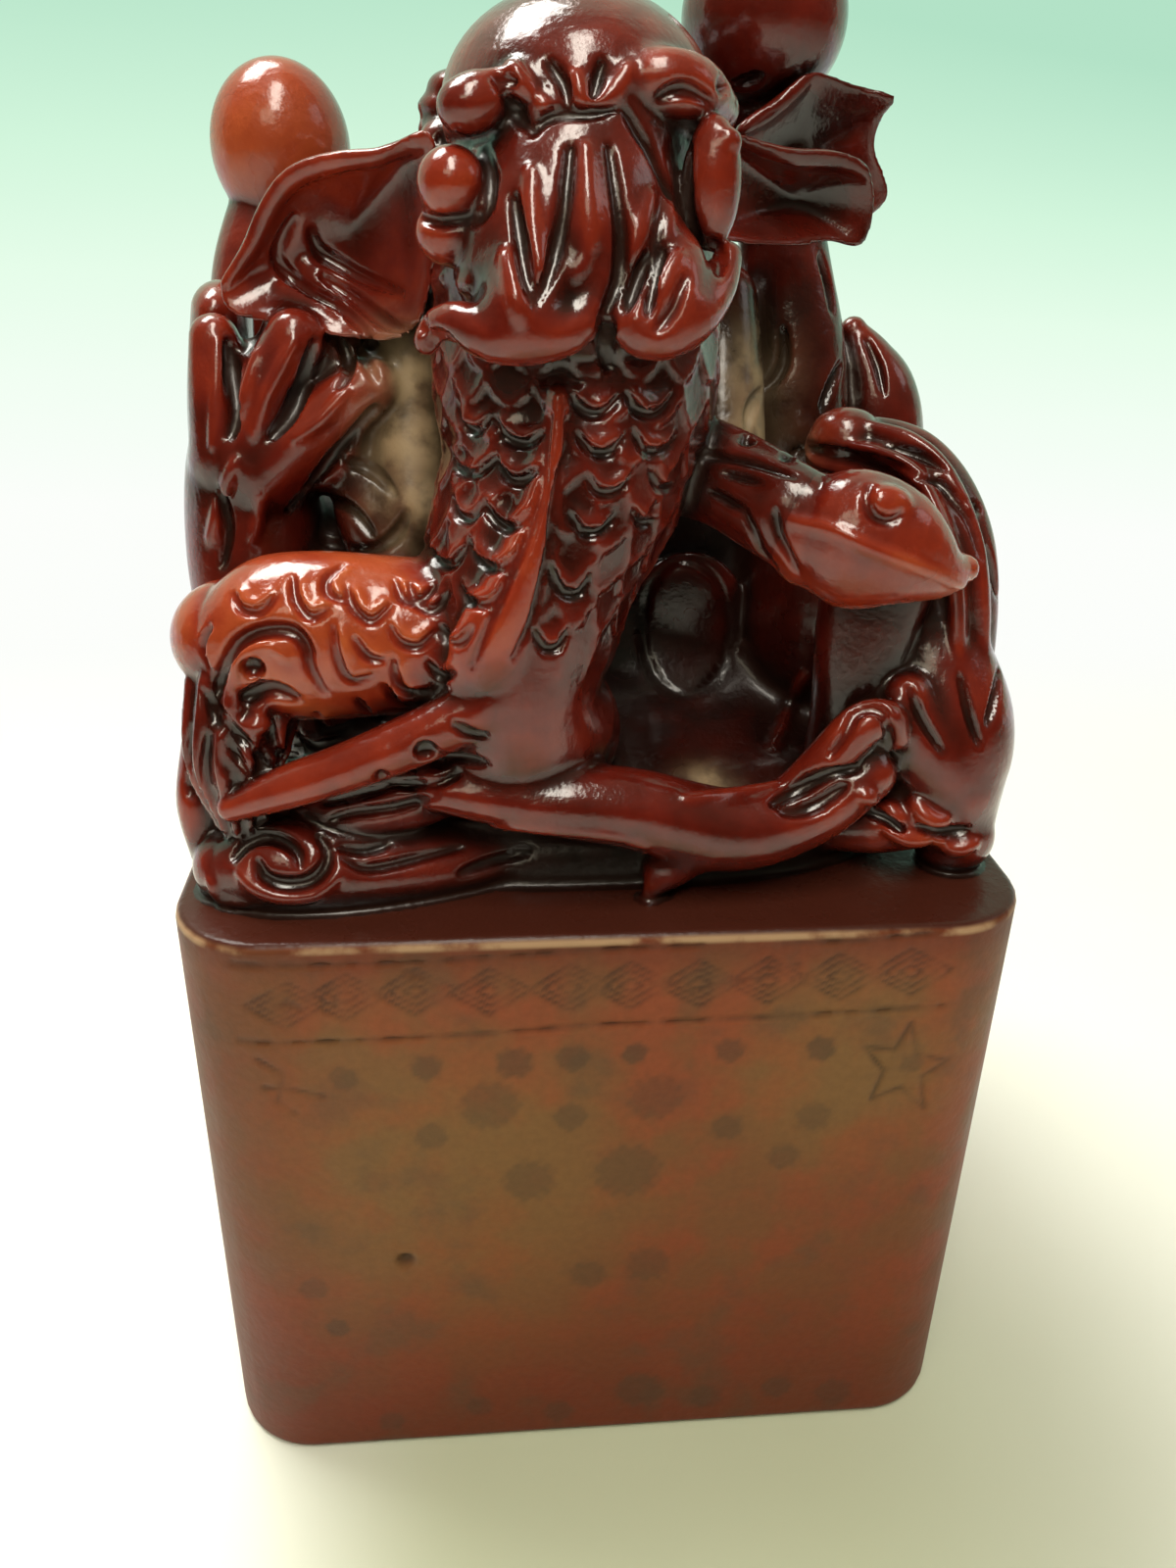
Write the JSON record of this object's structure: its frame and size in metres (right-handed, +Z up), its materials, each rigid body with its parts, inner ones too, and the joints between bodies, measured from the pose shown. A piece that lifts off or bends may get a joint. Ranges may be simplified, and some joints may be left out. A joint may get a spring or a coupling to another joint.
{
  "type": "seal stamp",
  "caption": "Square carved-stone seal stamp with a crouching scaled beast as its knob and a geometric fret cut into its seal face.",
  "frame": {"origin": "centre of the seal face, on the plane that it stands and prints on", "axes": "+Z up from the seal face to the knob; the beast and the block's front face look along -Y; +X is to the right of a viewer in front"},
  "size_m": [0.06, 0.06, 0.1113],
  "materials": {
    "block_stone": "satin",
    "red_lacquer": "gloss",
    "bright_lacquer": "gloss",
    "dark_lacquer": "gloss"
  },
  "bodies": {
    "root": {"belly_lip": "bright_lacquer", "brow_left": "red_lacquer", "brow_right": "red_lacquer", "chest": "bright_lacquer", "cloud_scroll": "red_lacquer", "collar_leaf": "dark_lacquer", "drape_knob": "red_lacquer", "ear_left": "red_lacquer", "ear_right": "dark_lacquer", "eye_left": "bright_lacquer", "eye_right": "bright_lacquer", "flank_left": "dark_lacquer", "flank_right": "dark_lacquer", "fore_leg_right": "dark_lacquer", "hair_tuft": "red_lacquer", "hand_left": "red_lacquer", "hind_leg_left": "red_lacquer", "hind_leg_right": "red_lacquer", "hook_scroll": "red_lacquer", "hump_right": "red_lacquer", "lip_left": "bright_lacquer", "lip_right": "bright_lacquer", "mane_curls": "dark_lacquer", "medallion": "dark_lacquer", "muzzle": "red_lacquer", "nape": "red_lacquer", "neck": "red_lacquer", "paw_right": "bright_lacquer", "pearl_left": "bright_lacquer", "pearl_right": "bright_lacquer", "rock_core": "dark_lacquer", "rock_left": "dark_lacquer", "rock_right": "dark_lacquer", "seal_block": "block_stone", "shin_right": "dark_lacquer", "shoulder_left": "bright_lacquer", "side_fold": "red_lacquer", "side_roll": "red_lacquer", "skull": "red_lacquer", "snout": "red_lacquer", "spine": "red_lacquer", "stalk_left": "red_lacquer", "stalk_right": "dark_lacquer", "tail_coil": "bright_lacquer", "tail_drape": "red_lacquer", "thigh_right": "red_lacquer", "throat_keel": "bright_lacquer", "wing_band": "bright_lacquer", "wing_feathers": "dark_lacquer"}
  },
  "joints": []
}
